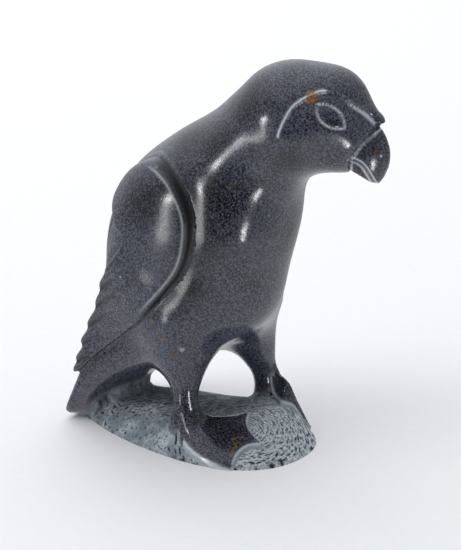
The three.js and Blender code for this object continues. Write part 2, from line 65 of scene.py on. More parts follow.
# Wings: a side outline of the folded wing, raised over the body with a groove around it
WING = {
    "outline": [
        (-6, 115.5), (6, 113), (14.5, 104.5), (17.3, 93.5),
        (13, 77), (-1, 59), (-14, 46), (-28, 34.5),
        (-41.5, 22.5), (-38, 38), (-29.8, 53.5), (-23.2, 68.5),
        (-12.5, 84), (-18, 89.5), (-23, 98), (-17, 109),
    ],
    "axis": ((-6, 105), (-36, 32)),
    "relief": 2.4,
    "crown": 3.4,
    "crown_width": 32,
    "edge_round": 1.6,
    "groove": 1.2,
    "back_gap": 5,
    "reach": 14,
    "valley": {"depth": 1.0, "width": 5},
}
BACK_LINES = {"at": (12, 15.5, 19), "span": (70, 94), "depth": 0.5, "width": 0.45}
FLUTES = {"along": (0.65, -0.76), "pitch": 4.2, "depth": 1.1, "reach": 10, "low": 28, "high": 68}

# Head, turned a little to the bird's left
HEAD = {"at": (51.8, 7.4, 136), "turn": 20, "blend": 8, "reach": 48}
CRANIUM = {"at": (-6, 0.5), "radii": (20, 17.5, 18.2)}
FOREHEAD = {"at": (3.2, 1), "radii": (15.9, 15.3, 18.3), "blend": 4}
BRIDGE = {"from": (8, 3), "to": (20, -1), "radii": (9.5, 2.8), "blend": 3}
FACE = {"at": (8.5, -8.5), "radii": (15.5, 12, 12.4), "blend": 8}
FACE_END = {"at": (33.3, -21.2), "radius": 21.8, "round": 1}
BEAK = {"at": (10, -14), "radii": (16.3, 7, 16.5), "rear": 4, "groove": 0.6}
HOOK = {"at": (-9.5, -58.3), "radius": 45, "round": 1.5}
MOUTH = {"line": [(11.5, -13.5), (16.3, -15.6), (19.1, -19.4), (22, -27)], "depth": 0.6, "width": 0.5}
BROW = {
    "line": [
        (-11.5, -3), (-9.8, 2), (-5.9, 8.7), (1.8, 12.8), (6.8, 13.1),
        (11.3, 11.7), (14.5, 9.2), (19, 5.5), (24.5, -1),
    ],
    "step": 1.4,
    "edge": (0.7, 2.6),
    "fall": 5,
    "reach": (4, 11),
}
EYE = {"at": (6.7, 4.2), "tilt": -40.8, "radius": 8.8, "offset": 5.6, "depth": 0.5, "width": 0.5}

# Legs and webbed feet: right then left
LEG = {"thigh": 14, "ankle": 4, "knee": 3, "blend": 10, "height": 20, "foot": 9, "flare": 6, "top": 80}
FOOT = {
    "thick": 1.5,
    "crest": 0.6,
    "edge_round": 0.6,
    "rough_round": 3,
    "reach": 25,
}
RIGHT_FOOT = {
    "side": -1,
    "thigh": (2, -12.5, 50),
    "ankle": (7.8, -19.2),
    "sole": (7.8, -19.2),
    "heel": (3, -21),
    "toes": [(24.5, 1.5), (40.5, -12), (35.7, -28)],
    "bows": (2.5, 4, 3.2, -5),
    "ridge": 9,
    "ridge_width": 5.5,
    "ridge_edge": 2.5,
    "falls": (2, 4, 2.5),
}
LEFT_FOOT = {
    "side": 1,
    "thigh": (11, 14, 50),
    "ankle": (16.5, 22),
    "sole": (18.5, 22.5),
    "heel": (5, 22.5),
    "toes": [(29.5, 14), (44.2, 18), (38, 28)],
    "bows": (2.5, 5, 3.2, -5),
    "ridge": 11,
    "ridge_width": 7,
    "ridge_edge": 4,
    "falls": (1.6, 0.5, 0.8),
}
FEET = [RIGHT_FOOT, LEFT_FOOT]

# Domed ground, egg-shaped in plan and wider in front
GROUND = {
    "half": (51.3, 27.8),
    "height": 12,
    "shift": (-1.1, -1.6),
    "taper": 0.29,
    "power": 2.2,
    "dome": 0.7,
}
MOUND = {"at": (27, 20), "width": 16, "height": 5, "rim": 0.3}
GROUND_BLEND = {"legs": 4, "tail": 9, "from": 0, "to": -20}
BELOW = 5

# Chisel strokes on the ground, drawn on a grid: rings in front, rows behind
CHISEL = {
    "seed": 5,
    "step": 0.2,
    "low": (-58, -42),
    "high": (58, 44),
    "centre": (27, -9),
    "rings": (3, 48),
    "rows": ((-56, 14), (-36, 40)),
    "rings_end": 6,
    "row": 1.1,
    "length": 2.6,
    "width": 0.34,
    "depth": 0.5,
    "reach": 3,
}

# Half widths of the pale lines, and how pale the faint ones are; most are left pale by the chisel, but
# the wing's front edge and the brow's rear are painted highlights
PALE = {"brow": 0.38, "lip": 0.3, "eye": 0.35, "beak": 0.3, "web": 0.4, "wing": 0.4}
PALE_SHARE = {"web": 0.8, "wing": 0.4}
# How strongly painted shade darkens the wing's front groove and the flute valleys
GROOVE_SHADE_SHARE = {"wing": 0.9, "flutes": 0.75}

# Stains and grains in the stone: place, radius, colour and strength
ORANGE = (0.36, 0.14, 0.025)
GOLD = (0.15, 0.085, 0.025)
RUST = (0.12, 0.062, 0.02)
OLIVE = (0.15, 0.15, 0.075)
WHITE = (0.6, 0.62, 0.64)
STAINS = [
    ((55.5, -5.5, 146.9), 3.1, ORANGE, 0.9),
    ((-0.2, -26.5, 114.9), 1.2, OLIVE, 0.9),
    ((-1, -29.4, 53.8), 1.4, OLIVE, 0.7),
    ((4.1, -28.7, 47.7), 1.6, RUST, 0.6),
    ((7.5, -27, 40.2), 1.8, RUST, 0.5),
    ((11, -25.9, 43.5), 1.3, WHITE, 0.5),
    ((30.3, -20.4, 111.9), 3, OLIVE, 0.15),
    ((56.3, -10.6, 129.8), 2.5, OLIVE, 0.25),
    ((74.5, 11, 124.3), 2.4, RUST, 0.4),
    ((75.3, 11.9, 123.1), 0.7, WHITE, 0.9),
    ((40.3, -10.5, 98.9), 0.4, WHITE, 0.9),
    ((37.1, -2.9, 69.6), 0.4, WHITE, 0.9),
    ((-12.2, -33.8, 70.6), 0.5, WHITE, 0.8),
]

# A thin vein across the near foot
VEIN = {
    "line": [(31.6, -15), (29.6, -17.4), (29.4, -19), (32.4, -20.2), (32, -22.4), (33.2, -24.6)],
    "heights": (9, 8.9, 8.5, 7.2, 6.2, 4.8),
    "radius": 0.75,
}

# Patches where black specks crowd the stone: place and radius
BLACK_PATCHES = [
    ((22, -24, 108), 13),
    ((20, -26, 88), 13),
    ((14, -26, 70), 10),
    ((10, -30, 106), 12),
    ((-4, -31, 102), 13),
    ((6, -14, 124), 12),
    ((34, -10, 142), 12),
    ((50, -11, 122), 8),
    ((20, -18, 128), 9),
    ((26, -17, 8), 12),
    ((16, -17, 14), 10),
]

# Colours of the stone
SPECK = (0.0006, 0.0006, 0.0008)
GRAINS = {
    "calm": [(0.41, (0.008, 0.0085, 0.012)), (0.6, (0.12, 0.128, 0.176))],
    "specked": [(0.46, SPECK), (0.6, (0.12, 0.127, 0.17))],
    "black": [(0.48, SPECK), (0.62, (0.055, 0.059, 0.08))],
}
CHALK = [(0.34, (0.22, 0.265, 0.295)), (0.66, (0.74, 0.82, 0.85))]
# Darker patches on the ground, mostly behind the feet
GROUND_DARKER = (0.15, 0.18, 0.21, 1)
# Dents in the ground: partly darker stone laid bare by the chisel, partly painted shade in the hollows
DENT_STONE_AND_SHADE = (0.014, 0.018, 0.025, 1)
# Painted shade for the wing's front groove and the flute valleys
GROOVE_SHADE = (0.002, 0.002, 0.003, 1)
# Pale chisel scratches, also used as painted highlights on the brow's rear and the wing's front edge
SCRATCH_AND_HIGHLIGHT = (0.72, 0.79, 0.83, 1)
PAPER = [(0.3, (0.86, 0.86, 0.865)), (0.7, (0.88, 0.88, 0.885))]

# How rough each finish is
POLISH_ROUGH = (0.17, 0.24)
GROOVE_ROUGH = 0.7
GROUND_ROUGH = 0.8
PAPER_ROUGH = 0.8

# Mesh sizes, and the box that the first even mesh is laid in
MESH = {
    "cell": 2.0,
    "line": 0.42,
    "ground": 0.36,
    "growth": 0.45,
    "splits": 3,
    "low": (-62, -43, -BELOW - 3),
    "high": (86, 43, 164),
}

# Camera and picture: angles in degrees, distance and sensor in millimetres, the rest in pixels
IMAGE = {"width": 461, "height": 550}
CAMERA = {
    "azimuth": 35,
    "elevation": 20,
    "distance": 1400,
    "focal": 3570,
    "origin": (198.4, 428),
    "sensor": 36,
}

# Studio: strips of light that show in the polish, soft panels that do not, and the room around
STRIPS = {
    "left_low": {"place": (-80, -303), "heights": (-50, 140), "width": 48, "radiance": 8},
    "left_high": {"place": (-80, -303), "heights": (140, 185), "width": 40, "radiance": 30},
    "right": {"place": (300, -160), "heights": (-80, 14), "width": 46, "radiance": 42},
}
PANELS = {
    "back": {"place": (-450, 640, 700), "back": (0.05, 0, 1), "size": 1000, "radiance": 0.6},
    "key": {"place": (-480, -700, 900), "back": (-480, -700, 900), "size": 800, "radiance": 1.9},
}
ROOM = {
    "bright_side": (-0.5, 0.3, 0.8),
    "glow": [(0.35, (0.42, 0.425, 0.44)), (0.95, (1.4, 1.42, 1.5))],
    "dark": (0.02, 0.02, 0.025, 1),
    "table": (1.0, 1.0, 1.02, 1),
}
FLOOR_SIZE = 8


# Shaping tools
def ease(low, high, v):
    """Eased step from 0 at low to 1 at high."""
    t = np.clip((v - low) / (high - low), 0, 1)
    return t * t * (3 - 2 * t)


def join(a, b, k):
    """Union of two fields with a rounded seam of width k."""
    h = np.clip(0.5 + 0.5 * (b - a) / k, 0, 1)
    return b + (a - b) * h - k * h * (1 - h)


def trim(a, b, k):
    """The part two fields share, with a rounded edge of width k."""
    return -join(-a, -b, k)


def bell(v, width):
    return np.exp(-((v / width) ** 2))


def ellipsoid(x, y, z, radii):
    a, b, c = radii
    k0 = np.sqrt((x / a) ** 2 + (y / b) ** 2 + (z / c) ** 2)
    k1 = np.sqrt((x / a**2) ** 2 + (y / b**2) ** 2 + (z / c**2) ** 2)
    return k0 * (k0 - 1) / np.maximum(k1, 1e-6)


def rod(x, y, z, start, end, radii):
    """Tapered rod between two points."""
    dx, dy, dz = (b - a for a, b in zip(start, end))
    px, py, pz = x - start[0], y - start[1], z - start[2]
    t = np.clip((px * dx + py * dy + pz * dz) / (dx * dx + dy * dy + dz * dz), 0, 1)
    away = np.sqrt((px - t * dx) ** 2 + (py - t * dy) ** 2 + (pz - t * dz) ** 2)
    return away - radii[0] - t * (radii[1] - radii[0])


def segment(u, v, a, b):
    """Distance to a segment in a plane, and how far along it the nearest point lies."""
    du, dv = b[0] - a[0], b[1] - a[1]
    t = np.clip(((u - a[0]) * du + (v - a[1]) * dv) / (du * du + dv * dv), 0, 1)
    return np.hypot(u - a[0] - t * du, v - a[1] - t * dv), t


def polyline(u, v, points):
    """Distance to an open line, and how far along it the nearest point lies."""
    best = np.full(u.shape, np.inf)
    along = np.zeros(u.shape)
    for i in range(len(points) - 1):
        d, t = segment(u, v, points[i], points[i + 1])
        closer = d < best
        best = np.where(closer, d, best)
        along = np.where(closer, (i + t) / (len(points) - 1), along)
    return best, along


def outline(u, v, points):
    """Signed distance to a closed outline in a plane."""
    best = np.full(u.shape, np.inf)
    inside = np.zeros(u.shape, bool)
    for i, a in enumerate(points):
        b = points[(i + 1) % len(points)]
        best = np.minimum(best, segment(u, v, a, b)[0])
        if a[1] == b[1]:
            continue
        crosses = ((a[1] > v) != (b[1] > v)) & (u < (b[0] - a[0]) * (v - a[1]) / (b[1] - a[1]) + a[0])
        inside ^= crosses
    return np.where(inside, -best, best)


def smooth_line(points, closed, per_span):
    """Points on a smooth curve through the given ones."""
    knots = np.array(points, float)
    if closed:
        knots = np.concatenate([knots[-1:], knots, knots[:2]])
    else:
        knots = np.concatenate([2 * knots[:1] - knots[1:2], knots, 2 * knots[-1:] - knots[-2:-1]])
    line = []
    for i in range(1, len(knots) - 2):
        p, q = knots[i], knots[i + 1]
        at_p, at_q = (q - knots[i - 1]) / 2, (knots[i + 2] - p) / 2
        for t in np.arange(per_span) / per_span:
            bend = (2 * p - 2 * q + at_p + at_q) * t**3 + (3 * q - 3 * p - 2 * at_p - at_q) * t**2
            line.append(tuple(bend + at_p * t + p))
    return line if closed else line + [tuple(knots[-2])]


def bowed(a, b, sag, count):
    """Points from a towards b on an arc bowed to the left by sag."""
    du, dv = b[0] - a[0], b[1] - a[1]
    points = []
    for t in np.arange(count) / count:
        lift = 4 * sag * t * (1 - t) / math.hypot(du, dv)
        points.append((a[0] + du * t - dv * lift, a[1] + dv * t + du * lift))
    return points


def foot_outline(foot):
    side, heel = foot["side"], foot["heel"]
    inner, middle, outer = foot["toes"]
    corners = [heel, inner, middle, outer, heel]
    line = []
    for start, end, bow, count in zip(corners, corners[1:], foot["bows"], (5, 9, 8, 8)):
        line += bowed(start, end, side * bow, count)
    return line


def only(near, work, base, *places):
    """Rework a field at the points marked as near, and leave it elsewhere."""
    result = base.copy()
    if near.any():
        result[near] = work(base[near], *(place[near] for place in places))
    return result


TAIL_LINE = smooth_line(TAIL["outline"], True, 3)
WING_LINE = smooth_line(WING["outline"], True, 8)
WING_REAR = smooth_line(WING["outline"][8:12], False, 3)
BROW_LINE = smooth_line(BROW["line"], False, 4)
BROW_AREA = BROW_LINE + [(26, -20), (-8, -20)]
MOUTH_LINE = smooth_line(MOUTH["line"], False, 3)
MOUTH_AREA = MOUTH_LINE + [(4, -30), (4, -12)]
FOOT_LINES = [foot_outline(foot) for foot in FEET]


# The bird
def body(x, y, z, spare):
    lean = math.radians(TORSO["lean"])
    dx, dz = x - TORSO["at"][0], z - TORSO["at"][2]
    along = dx * math.cos(lean) - dz * math.sin(lean)
    rise = dx * math.sin(lean) + dz * math.cos(lean)
    belly = BELLY["height"] + BELLY["slope"] * x - z
    back = ellipsoid(x - BACK["at"][0], y, z - BACK["at"][2], BACK["radii"])
    torso = join(ellipsoid(along, y, rise, TORSO["radii"]), back, BACK["blend"])
    torso = trim(torso, belly, BELLY["blend"])
    chest = ellipsoid(x - CHEST["at"][0], y, z - CHEST["at"][2], CHEST["radii"])
    inward = 1 - np.minimum(np.abs(y) / TAIL["half_width"], 1) ** 2
    from_centre = np.hypot(x - ARCH["at"][0], z - ARCH["at"][1])
    arch = ARCH["radius"] - spare - from_centre - ARCH["dip"] * inward
    blade = trim(outline(x, z, TAIL_LINE), arch, ARCH["round"])
    tail = trim(blade, np.abs(y) - TAIL["half_width"], TAIL["side_round"])
    neck = rod(x, y, z, NECK["from"], NECK["to"], NECK["radii"])
    trunk = join(join(torso, chest, CHEST["blend"]), tail, TAIL["blend"])
    trunk = join(trunk, neck, NECK["blend"])
    for swell in SWELLS:
        sx, sy, sz = swell["at"]
        away = np.sqrt((x - sx) ** 2 + (np.abs(y) - sy) ** 2 + (z - sz) ** 2)
        trunk = trunk - swell["height"] * bell(away, swell["width"])
    return trunk


def head_frame(x, y, z):
    """Position in the head's own frame: forward, sideways, up."""
    turn = math.radians(HEAD["turn"])
    dx, dy = x - HEAD["at"][0], y - HEAD["at"][1]
    forward = dx * math.cos(turn) + dy * math.sin(turn)
    sideways = dy * math.cos(turn) - dx * math.sin(turn)
    return forward, sideways, z - HEAD["at"][2]


def eye_line(f, u):
    """Signed distance to the almond outline of the eye, seen from the side of the head."""
    tilt = math.radians(EYE["tilt"])
    df, du = f - EYE["at"][0], u - EYE["at"][1]
    along = df * math.cos(tilt) + du * math.sin(tilt)
    across = du * math.cos(tilt) - df * math.sin(tilt)
    lower = np.hypot(along, across - EYE["offset"])
    upper = np.hypot(along, across + EYE["offset"])
    return np.maximum(lower, upper) - EYE["radius"]


def brow_side(f, u):
    """Signed distance to the line of the brow, positive under it, and the place along it."""
    distance, along = polyline(f, u, BROW_LINE)
    return np.where(outline(f, u, BROW_AREA) < 0, distance, -distance), along


def mouth_side(f, u):
    """Signed distance to the line of the mouth, positive below it."""
    distance = polyline(f, u, MOUTH_LINE)[0]
    return np.where(outline(f, u, MOUTH_AREA) < 0, distance, -distance)


def brow_step(f, u):
    """How deep the face is stepped down under the brow."""
    under, along = brow_side(f, u)
    edge = brow_edge(along)
    fade = 1 - ease(*BROW["reach"], np.abs(under))
    fall = np.exp(-np.maximum(under - edge, 0) / BROW["fall"]) * fade
    return BROW["step"] * ease(0, edge, under) * fall * ease(0, 0.2, along)


def brow_edge(along):
    """Width of the slope under the brow, which grows towards the beak."""
    narrow, wide = BROW["edge"]
    return narrow + (wide - narrow) * ease(0.4, 0.9, along)


def skull_field(f, s, u):
    cranium = ellipsoid(f - CRANIUM["at"][0], s, u - CRANIUM["at"][1], CRANIUM["radii"])
    forehead = ellipsoid(f - FOREHEAD["at"][0], s, u - FOREHEAD["at"][1], FOREHEAD["radii"])
    (f0, u0), (f1, u1) = BRIDGE["from"], BRIDGE["to"]
    bridge = rod(f, s, u, (f0, 0, u0), (f1, 0, u1), BRIDGE["radii"])
    face = ellipsoid(f - FACE["at"][0], s, u - FACE["at"][1], FACE["radii"])
    face_end = FACE_END["radius"] - np.hypot(f - FACE_END["at"][0], u - FACE_END["at"][1])
    skull = join(join(cranium, forehead, FOREHEAD["blend"]), bridge, BRIDGE["blend"])
    return trim(join(skull, face, FACE["blend"]), face_end, FACE_END["round"])


def beak_field(f, s, u):
    whole = ellipsoid(f - BEAK["at"][0], s, u - BEAK["at"][1], BEAK["radii"])
    hooked = trim(whole, HOOK["radius"] - np.hypot(f - HOOK["at"][0], u - HOOK["at"][1]), HOOK["round"])
    return trim(hooked, BEAK["rear"] - f, HOOK["round"])


def plain_head(stone, f, s, u):
    head = join(stone, skull_field(f, s, u), HEAD["blend"])
    return join(head, beak_field(f, s, u), BEAK["groove"])


def carved_head(stone, f, s, u):
    head = join(stone, skull_field(f, s, u), HEAD["blend"])
    head = head + brow_step(f, u) + EYE["depth"] * bell(eye_line(f, u), EYE["width"])
    beak = beak_field(f, s, u) + MOUTH["depth"] * bell(mouth_side(f, u), MOUTH["width"])
    return np.maximum(np.minimum(head, beak), BEAK["groove"] - np.hypot(head, beak))


def with_head(stone, x, y, z, carved):
    f, s, u = head_frame(x, y, z)
    near = f * f + s * s + u * u < HEAD["reach"] ** 2
    return only(near, carved_head if carved else plain_head, stone, f, s, u)


def flute_span(x, z):
    """Where the rear edge of the wing is fluted, from 0 to 1."""
    distance = polyline(x, z, WING_REAR)[0]
    low, high = FLUTES["low"], FLUTES["high"]
    span = ease(low - 4, low, z) * (1 - ease(high, high + 4, z))
    return span * (1 - ease(0, FLUTES["reach"], distance))


def flute_depth(x, z):
    phase = (x * FLUTES["along"][0] + z * FLUTES["along"][1]) / FLUTES["pitch"]
    return FLUTES["depth"] * flute_span(x, z) * (0.5 + 0.5 * np.cos(2 * np.pi * phase))


def wing_field(trunk, edge, x, y, z, carved):
    distance, along = segment(x, z, *WING["axis"])
    bulge = (1 - np.minimum(distance / WING["crown_width"], 1) ** 2) ** 2
    relief = WING["relief"] + WING["crown"] * bulge * (1 - 0.8 * along)
    flutes = flute_depth(x, z) if carved else 0
    wing = trim(trunk - relief + flutes, edge, WING["edge_round"])
    return np.maximum(wing, WING["back_gap"] - np.abs(y))


def plain_wing(stone, trunk, edge, x, y, z):
    return join(stone, wing_field(trunk, edge, x, y, z, False), WING["groove"])


def back_line(x, y, z):
    """Distance to the nearest feather line on the back, which shows in the notch of the wing."""
    nearest = np.min([np.abs(np.abs(y) - line) for line in BACK_LINES["at"]], axis=0)
    low, high = BACK_LINES["span"]
    within = ease(low - 6, low, z) * (1 - ease(high, high + 6, z)) * (1 - ease(-14, -9, x))
    return nearest + 4 * (1 - within)


def carved_wing(stone, trunk, edge, x, y, z):
    wing = wing_field(trunk, edge, x, y, z, True)
    stone = stone + BACK_LINES["depth"] * bell(back_line(x, y, z), BACK_LINES["width"])
    return np.maximum(np.minimum(stone, wing), WING["groove"] - np.hypot(stone, wing))


def legs(x, y, z):
    field = np.full(x.shape, np.inf)
    for foot in FEET:
        knee = (*foot["ankle"], LEG["height"])
        sole = (*foot["sole"], LEG["foot"])
        shin = rod(x, y, z, foot["thigh"], knee, (LEG["thigh"], LEG["ankle"]))
        post = rod(x, y, z, knee, sole, (LEG["ankle"], LEG["flare"]))
        field = np.minimum(field, join(shin, post, LEG["knee"]))
    return field


def bird(x, y, z, carved, spare):
    """The bird alone. Spare stone can be left under the tail."""
    trunk = body(x, y, z, spare)
    edge = outline(x, z, WING_LINE)
    front = ease(-20, 0, x) * (1 - ease(105, 125, z))
    valley = WING["valley"]["depth"] * bell(edge, WING["valley"]["width"]) * front
    stone = with_head(trunk + valley, x, y, z, carved)
    with_wing = carved_wing if carved else plain_wing
    stone = only(edge < WING["reach"], with_wing, stone, trunk, edge, x, y, z)
    return only(z < LEG["top"], lambda s, *p: join(s, legs(*p), LEG["blend"]), stone, x, y, z)


# The ground
def ring_strokes(rng):
    """Strokes in rings around the toes: centre, direction, half length and depth of each."""
    cx, cy = CHISEL["centre"]
    strokes = []
    for radius in np.arange(*CHISEL["rings"], CHISEL["row"]):
        count = int(2 * np.pi * radius / CHISEL["length"])
        for i in range(count):
            turn = (i + rng.uniform(-0.35, 0.35)) * 2 * np.pi / count
            r = radius + rng.normal(0, 0.22)
            x, y = cx + r * math.cos(turn), cy + r * math.sin(turn)
            if x > CHISEL["rings_end"] + 3 * rng.normal():
                length = CHISEL["length"] * rng.uniform(0.4, 0.7)
                heading = turn + np.pi / 2 + rng.normal(0, 0.12)
                strokes.append((x, y, heading, length, rng.uniform(0.5, 1)))
    return strokes


def row_strokes(rng):
    """Looser strokes in rows behind the feet, shorter and more mixed on the near side."""
    x_span, y_span = CHISEL["rows"]
    strokes = []
    for row in np.arange(*y_span, CHISEL["row"]):
        for place in np.arange(*x_span, CHISEL["length"] * 0.8):
            x, y = place + rng.uniform(-1.2, 1.2), row + rng.uniform(-0.5, 0.5)
            if x < CHISEL["rings_end"] + 3 * rng.normal():
                near_side = ease(-14, -22, y)
                length = CHISEL["length"] * rng.uniform(0.25, 0.6) * (1 - 0.6 * near_side)
                heading = rng.normal(0.15, 0.3 + 0.5 * near_side)
                strokes.append((x, y, heading, length, rng.uniform(0.5, 1)))
    return strokes


def chisel_map():
    """Depth of the strokes on an even grid over the ground, from 0 to 1."""
    low, high, step = CHISEL["low"], CHISEL["high"], CHISEL["step"]
    shape = [int((high[i] - low[i]) / step) + 1 for i in range(2)]
    depth = np.zeros(shape)
    reach = int(CHISEL["reach"] / step)
    rng = np.random.default_rng(CHISEL["seed"])
    for x, y, turn, length, strength in ring_strokes(rng) + row_strokes(rng):
        i, j = int((x - low[0]) / step), int((y - low[1]) / step)
        rows = np.arange(max(i - reach, 0), min(i + reach, shape[0]))
        columns = np.arange(max(j - reach, 0), min(j + reach, shape[1]))
        if not len(rows) or not len(columns):
            continue
        dx = low[0] + rows[:, None] * step - x
        dy = low[1] + columns[None, :] * step - y
        along = dx * math.cos(turn) + dy * math.sin(turn)
        across = dy * math.cos(turn) - dx * math.sin(turn)
        dent = strength * bell(across, CHISEL["width"]) * bell(along, length)
        patch = depth[rows[0]:rows[-1] + 1, columns[0]:columns[-1] + 1]
        np.maximum(patch, dent, out=patch)
    return depth


CHISEL_MAP = chisel_map()


def chisel(x, y):
    """Depth of the strokes at a place, read between the points of the grid."""
    u = np.clip((x - CHISEL["low"][0]) / CHISEL["step"], 0, CHISEL_MAP.shape[0] - 1.001)
    v = np.clip((y - CHISEL["low"][1]) / CHISEL["step"], 0, CHISEL_MAP.shape[1] - 1.001)
    i, j = u.astype(int), v.astype(int)
    fu, fv = u - i, v - j
    near = CHISEL_MAP[i, j] * (1 - fv) + CHISEL_MAP[i, j + 1] * fv
    far = CHISEL_MAP[i + 1, j] * (1 - fv) + CHISEL_MAP[i + 1, j + 1] * fv
    return near * (1 - fu) + far * fu


def ground_height(x, y):
    a, b = GROUND["half"]
    along = (x - GROUND["shift"][0]) / a
    across = (y - GROUND["shift"][1]) / (b * (1 + GROUND["taper"] * np.clip(along, -1, 1)))
    left = 1 - np.abs(along) ** GROUND["power"] - np.abs(across) ** GROUND["power"]
    swell = MOUND["height"] * bell(np.hypot(x - MOUND["at"][0], y - MOUND["at"][1]), MOUND["width"])
    dome = GROUND["height"] * np.sign(left) * np.abs(left) ** GROUND["dome"]
    return dome + swell * ease(0, MOUND["rim"], left)


def foot_rise(foot, x, y, edge):
    """Rise of a foot above the ground: ridges from the ankle along the toes, with webs between."""
    total = np.zeros(x.shape)
    for toe, fall in zip(foot["toes"], foot["falls"]):
        distance, along = segment(x, y, foot["sole"], toe)
        ridge = foot["ridge"] * (1 - along) ** fall
        total += (ridge * np.exp(-np.hypot(distance, FOOT["crest"]) / foot["ridge_width"])) ** 3
    return FOOT["thick"] + np.cbrt(total) * ease(0, foot["ridge_edge"], -edge)


def feet(stone, rise, x, y, carved):
    edge_round = FOOT["edge_round"] if carved else FOOT["rough_round"]
    for foot, line in zip(FEET, FOOT_LINES):
        edge = outline(x, y, line)
        pad = trim((rise - foot_rise(foot, x, y, edge)) * 0.6, edge, edge_round)
        stone = np.minimum(stone, pad)
    return stone


def ground(x, y, z, carved):
    rise = z - ground_height(x, y)
    dents = CHISEL["depth"] * chisel(x, y) * ease(0, 3, z) if carved else 0
    stone = (rise + dents) * 0.7
    return only(rise < FOOT["reach"], lambda s, *p: feet(s, *p, carved), stone, rise, x, y)


def carving(points, carved=True, spare=0):
    """The whole stone. Without carving, the fine lines and strokes are left out."""
    x, y, z = points.T
    stone = bird(x, y, z, carved, spare)
    at_tail, at_legs = GROUND_BLEND["tail"], GROUND_BLEND["legs"]
    blend = at_tail + (at_legs - at_tail) * ease(GROUND_BLEND["to"], GROUND_BLEND["from"], x)
    whole = only(z < LEG["top"], lambda s, k, *p: join(s, ground(*p, carved), k), stone, blend, x, y, z)
    return np.maximum(whole, -BELOW - z)


def rough_form(points):
    return carving(points, False, ARCH["spare"])


def plain_form(points):
    return carving(points, False)


# Mesh
def fill_pinches(values):
    """Fills in an outside corner of each grid square whose inside corners lie crosswise."""
    filled = True
    while filled:
        filled = False
        for axis in range(3):
            grid = np.moveaxis(values, axis, 0)
            corners = [grid[:, :-1, :-1], grid[:, 1:, :-1], grid[:, 1:, 1:], grid[:, :-1, 1:]]
            inside = [corner < 0 for corner in corners]
            crossed = (inside[0] == inside[2]) & (inside[1] == inside[3]) & (inside[0] != inside[1])
            for corner in corners[:2]:
                corner[crossed & (corner >= 0)] = -0.1
            filled = filled or bool(crossed.any())


def corner_slices(corner, shape):
    return tuple(slice(c, n - 1 + c) for c, n in zip(corner, shape))


def net_places(values):
    """One point in every grid cell that the surface passes through, and the cells' numbers."""
    shape = values.shape
    total = np.zeros([n - 1 for n in shape] + [3])
    count = np.zeros([n - 1 for n in shape])
    for axis in range(3):
        others = [i for i in range(3) if i != axis]
        for pair in ((0, 0), (0, 1), (1, 0), (1, 1)):
            start = np.zeros(3, int)
            start[others] = pair
            end = start.copy()
            end[axis] = 1
            a, b = values[corner_slices(start, shape)], values[corner_slices(end, shape)]
            crossed = (a < 0) != (b < 0)
            total[crossed] += start
            total[crossed, axis] += a[crossed] / (a[crossed] - b[crossed])
            count += crossed
    used = count > 0
    number = np.full(used.shape, -1)
    number[used] = np.arange(used.sum())
    return np.argwhere(used) + total[used] / count[used][:, None], number


def net_triangles(values, number):
    """Two triangles across every grid edge that the surface cuts."""
    triangles = []
    for axis in range(3):
        grid = np.moveaxis(values < 0, (axis, (axis + 1) % 3, (axis + 2) % 3), (0, 1, 2))
        cells = np.moveaxis(number, (axis, (axis + 1) % 3, (axis + 2) % 3), (0, 1, 2))
        leaving = grid[:-1, 1:-1, 1:-1] & ~grid[1:, 1:-1, 1:-1]
        entering = ~grid[:-1, 1:-1, 1:-1] & grid[1:, 1:-1, 1:-1]
        ring = [cells[:, :-1, :-1], cells[:, 1:, :-1], cells[:, 1:, 1:], cells[:, :-1, 1:]]
        for crossed, order in ((leaving, (0, 1, 2, 3)), (entering, (3, 2, 1, 0))):
            quad = np.stack([ring[i][crossed] for i in order], axis=1)
            triangles += [quad[:, [0, 1, 2]], quad[:, [0, 2, 3]]]
    return np.concatenate(triangles)


def surface_net(field, low, high, cell):
    """Closed mesh on the zero surface of a field."""
    axes = [np.arange(a, b + cell, cell) for a, b in zip(low, high)]
    shape = [len(axis) for axis in axes]
    grid = np.stack(np.meshgrid(*axes, indexing="ij"), axis=-1).reshape(-1, 3)
    values = field(grid).reshape(shape)
    fill_pinches(values)
    places, number = net_places(values)
    return np.array(low) + places * cell, net_triangles(values, number)


def slope(field, points):
    """Value and slope of a field."""
    h = 0.02
    value = field(points)
    return value, np.stack([(field(points + h * side) - value) / h for side in np.eye(3)], axis=1)


def drop(field, points, rounds):
    """Drops points on to the surface."""
    for _ in range(rounds):
        value, normal = slope(field, points)
        steep = np.maximum(np.linalg.norm(normal, axis=1), 0.4)
        fall = np.clip(value / steep, -1, 1)
        points = points - normal * (fall / steep)[:, None]
    return points


def settle(field, points, triangles):
    """Evens the points out along the surface, then drops each one back on to it."""
    total = np.zeros(points.shape)
    count = np.zeros(len(points))
    for i in range(3):
        here, there = triangles[:, i], triangles[:, (i + 1) % 3]
        for axis in range(3):
            total[:, axis] += np.bincount(here, points[there, axis], len(points))
        count += np.bincount(here, minlength=len(points))
    pull = 0.5 * (total / count[:, None] - points)
    normal = slope(field, points)[1]
    normal /= np.maximum(np.linalg.norm(normal, axis=1), 0.4)[:, None]
    pull -= normal * np.sum(pull * normal, axis=1)[:, None]
    return drop(field, points + pull, 1)


